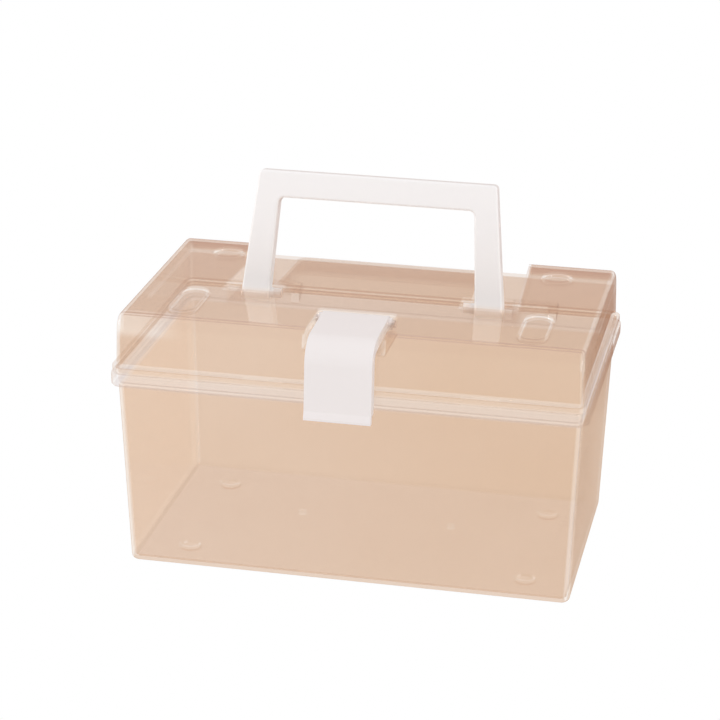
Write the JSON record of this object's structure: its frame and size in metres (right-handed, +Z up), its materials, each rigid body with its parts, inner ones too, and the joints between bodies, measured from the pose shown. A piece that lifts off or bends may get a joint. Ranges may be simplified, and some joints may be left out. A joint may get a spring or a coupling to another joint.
{
  "type": "plastic tool box",
  "caption": "Clear moulded plastic tool box: deep tub with feet, hinged stacking lid, folding white bail handle set in a lid channel, and a white front snap latch.",
  "frame": {"origin": "middle of the whole box's outline, on the plane that its four feet stand on", "axes": "+X along the box to its right end, -Y out of the latch side, +Z up"},
  "size_m": [0.272, 0.1836, 0.2206],
  "materials": {
    "clear_peach_plastic": "clear polypropylene with a light peach tint, glossy moulded faces",
    "white_plastic": "opaque white moulded plastic, satin gloss"
  },
  "bodies": {
    "tub": {"tub": "clear_peach_plastic"},
    "lid": {"lid": "clear_peach_plastic"},
    "handle": {"handle": "white_plastic"},
    "latch": {"latch": "white_plastic"}
  },
  "joints": [
    {"name": "lid_hinge", "type": "hinge", "parent": "tub", "child": "lid", "pos_m": [0, 0.0876, 0.12], "axis": [-1, 0, 0], "range_deg": [0, 105]},
    {"name": "latch_swing", "type": "hinge", "parent": "lid", "child": "latch", "pos_m": [-0.0014, -0.0432, 0.1505], "axis": [-1, 0, 0], "range_deg": [0, 100]},
    {"name": "handle_fold", "type": "hinge", "parent": "lid", "child": "handle", "pos_m": [0, -0.0059, 0.15], "axis": [-1, 0, 0], "range_deg": [-19, 78]}
  ]
}
